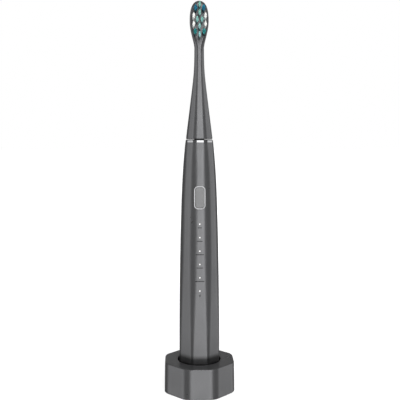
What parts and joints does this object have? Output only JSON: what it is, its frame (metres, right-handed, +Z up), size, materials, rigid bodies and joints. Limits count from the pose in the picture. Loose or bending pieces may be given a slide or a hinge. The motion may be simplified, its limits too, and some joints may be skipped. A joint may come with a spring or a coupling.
{
  "type": "electric toothbrush on charger",
  "caption": "Slim faceted sonic toothbrush with a pull-off brush head, standing in the round well of a low octagonal induction charger.",
  "frame": {"origin": "centre of the charger's footprint, on the surface that it stands on", "axes": "+Z up along the toothbrush, the button and the bristles face -Y, +X to the viewer's right"},
  "size_m": [0.0474, 0.0474, 0.2616],
  "materials": {
    "graphite_paint": "satin metallic graphite paint over plastic",
    "dark_plastic": "fine matt moulded plastic",
    "black_rubber": "matt",
    "polished_metal": "bright polished",
    "screw_steel": "plain turned steel",
    "pressed_steel": "pressed and drawn steel",
    "circuit_laminate": "green solder mask",
    "component_black": "moulded component cases",
    "bobbin_plastic": "natural moulded plastic",
    "copper_wire": "enamelled wire wound in layers",
    "ferrite": "dull sintered",
    "clear_guide": "milky clear",
    "led_white": "milky",
    "chassis_plastic": "natural moulded plastic",
    "cell_wrap": "shrink-wrapped metal can",
    "bronze": "sintered bronze",
    "button_rubber": "satin",
    "silicone": "soft matt silicone",
    "socket_plastic": "natural moulded plastic",
    "mint_bristle": "fine nylon filaments",
    "white_bristle": "fine nylon filaments",
    "teal_bristle": "fine nylon filaments"
  },
  "bodies": {
    "charger": {"base_housing": "graphite_paint", "base_cover": "dark_plastic", "cover_screws": "screw_steel", "rubber_feet": "black_rubber", "cord_gland": "black_rubber", "charger_board": "circuit_laminate", "board_parts": "component_black", "coil_bobbin": "bobbin_plastic", "transmit_coil": "copper_wire", "ferrite_rod": "ferrite"},
    "handle": {"handle_shell": "graphite_paint", "bottom_cap": "graphite_paint", "cap_seal": "black_rubber", "collar_ring": "polished_metal", "collar_gasket": "black_rubber", "shaft_seal": "silicone", "button_rim": "polished_metal", "button_membrane": "silicone", "light_guide": "clear_guide", "circuit_board": "circuit_laminate", "indicator_leds": "led_white", "tact_switch": "component_black", "board_screws": "screw_steel", "chassis": "chassis_plastic", "battery_cell": "cell_wrap", "battery_tabs": "pressed_steel", "receive_coil": "copper_wire", "receive_ferrite": "ferrite", "motor_can": "pressed_steel", "motor_front_cap": "dark_plastic", "motor_rear_cap": "dark_plastic", "stator_coils": "copper_wire", "shaft_bushes": "bronze", "return_spring": "pressed_steel"},
    "button": {"power_button": "button_rubber", "switch_plunger": "black_rubber"},
    "drive": {"drive_shaft": "pressed_steel", "rotor_core": "pressed_steel", "rotor_magnets": "ferrite"},
    "brush_head": {"head_shell": "graphite_paint", "drive_socket": "socket_plastic", "mint_tufts": "mint_bristle", "white_tufts": "white_bristle", "teal_tufts": "teal_bristle", "tuft_anchors": "bronze"}
  },
  "joints": [
    {"name": "handle_lift", "type": "slide", "parent": "charger", "child": "handle", "axis": [0, 0, 1], "range_m": [0, 0.06]},
    {"name": "button_press", "type": "slide", "parent": "handle", "child": "button", "axis": [0, 0.9992, -0.0404], "range_m": [0, 0.0004], "stiffness_N_per_m": 2000, "springref_m": -0.0005},
    {"name": "shaft_swing", "type": "hinge", "parent": "handle", "child": "drive", "pos_m": [0, 0, 0.156], "axis": [0, 0, 1], "range_deg": [-5, 5], "stiffness_Nm_per_rad": 0.3},
    {"name": "head_pull", "type": "slide", "parent": "drive", "child": "brush_head", "axis": [0, 0, 1], "range_m": [0, 0.04]}
  ]
}
